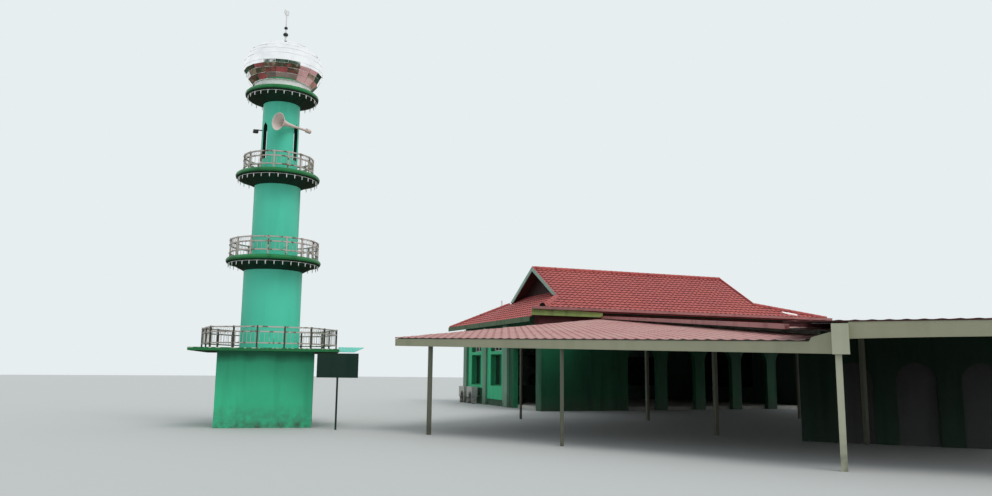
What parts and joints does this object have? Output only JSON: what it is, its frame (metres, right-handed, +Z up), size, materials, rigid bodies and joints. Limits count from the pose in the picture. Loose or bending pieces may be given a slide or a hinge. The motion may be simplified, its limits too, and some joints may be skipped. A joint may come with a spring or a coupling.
{
  "type": "small town mosque with free-standing minaret",
  "caption": "Small mosque: round minaret with balconies and a mirrored dome, tiled prayer hall with gablets and arched doors, and low sheet-roofed canopies in front.",
  "frame": {"origin": "centre of the prayer hall's plan, on the ground, at the underside of its floor slab", "axes": "+X along the hall's ridge, -Y towards the street, +Z up"},
  "size_m": [31.2521, 36.432, 14.1516],
  "materials": {
    "mint_paint": "painted plaster, satin, weathered",
    "green_paint": "painted plaster, satin",
    "dark_green_paint": "painted concrete, satin",
    "deep_green_paint": "painted plaster, matt",
    "white_paint": "painted concrete, matt",
    "mirror_steel": "polished stainless panels",
    "turquoise_sheet": "corrugated sheet, satin",
    "roof_tile": "red concrete tiles, matt",
    "canopy_sheet": "tile-profile steel sheet, satin",
    "maroon_board": "painted boards, matt",
    "pale_board": "painted boards, matt",
    "lime_board": "painted boards, matt",
    "pink_gutter": "painted steel channel",
    "beige_paint": "painted steel, matt",
    "concrete": "trowelled concrete",
    "dark_glass": "tinted glass",
    "horn_paint": "painted aluminium, satin",
    "grey_metal": "grey painted metal"
  },
  "bodies": {
    "root": {"minaret_base_walls": "green_paint", "minaret_base_slab": "dark_green_paint", "minaret_awning": "turquoise_sheet", "minaret_lower_shaft": "mint_paint", "lower_balcony": "dark_green_paint", "minaret_middle_shaft": "mint_paint", "upper_balcony": "dark_green_paint", "minaret_upper_shaft": "mint_paint", "minaret_cornice": "dark_green_paint", "dome_drum": "white_paint", "minaret_dome": "mirror_steel", "dome_finial": "grey_metal", "base_railing": "mint_paint", "lower_railing": "mint_paint", "upper_railing": "mint_paint", "horn_speaker": "horn_paint", "shaft_lamp": "grey_metal", "sign_board": "dark_green_paint", "hall_floor": "concrete", "hall_front_wall": "deep_green_paint", "hall_back_wall": "mint_paint", "hall_left_wall": "deep_green_paint", "hall_right_wall": "deep_green_paint", "left_surround_1": "mint_paint", "left_surround_2": "mint_paint", "right_surround_1": "mint_paint", "right_surround_2": "mint_paint", "left_window_glass": "dark_glass", "right_window_glass": "dark_glass", "back_window_glass": "dark_glass", "roof_front": "roof_tile", "roof_back_upper": "roof_tile", "roof_back_lower": "roof_tile", "roof_left_end": "roof_tile", "roof_right_end": "roof_tile", "gablet_wall_left": "maroon_board", "gablet_wall_right": "maroon_board", "barge_boards_left": "pale_board", "barge_boards_right": "pale_board", "ridge_cap": "roof_tile", "front_gutter": "pink_gutter", "front_fascia": "lime_board", "left_end_fascia": "dark_green_paint", "roof_vent_pipe": "white_paint", "air_conditioner_back": "grey_metal", "air_conditioner_front": "grey_metal", "left_canopy_roof": "canopy_sheet", "left_canopy_frame": "beige_paint", "left_canopy_fascia": "beige_paint", "forecourt_roof": "canopy_sheet", "forecourt_frame": "beige_paint", "forecourt_gutter": "pink_gutter", "right_canopy_roof": "canopy_sheet", "right_canopy_frame": "beige_paint", "right_canopy_fascia": "beige_paint", "right_arcade_wall": "deep_green_paint", "corner_post": "beige_paint"}
  },
  "joints": []
}
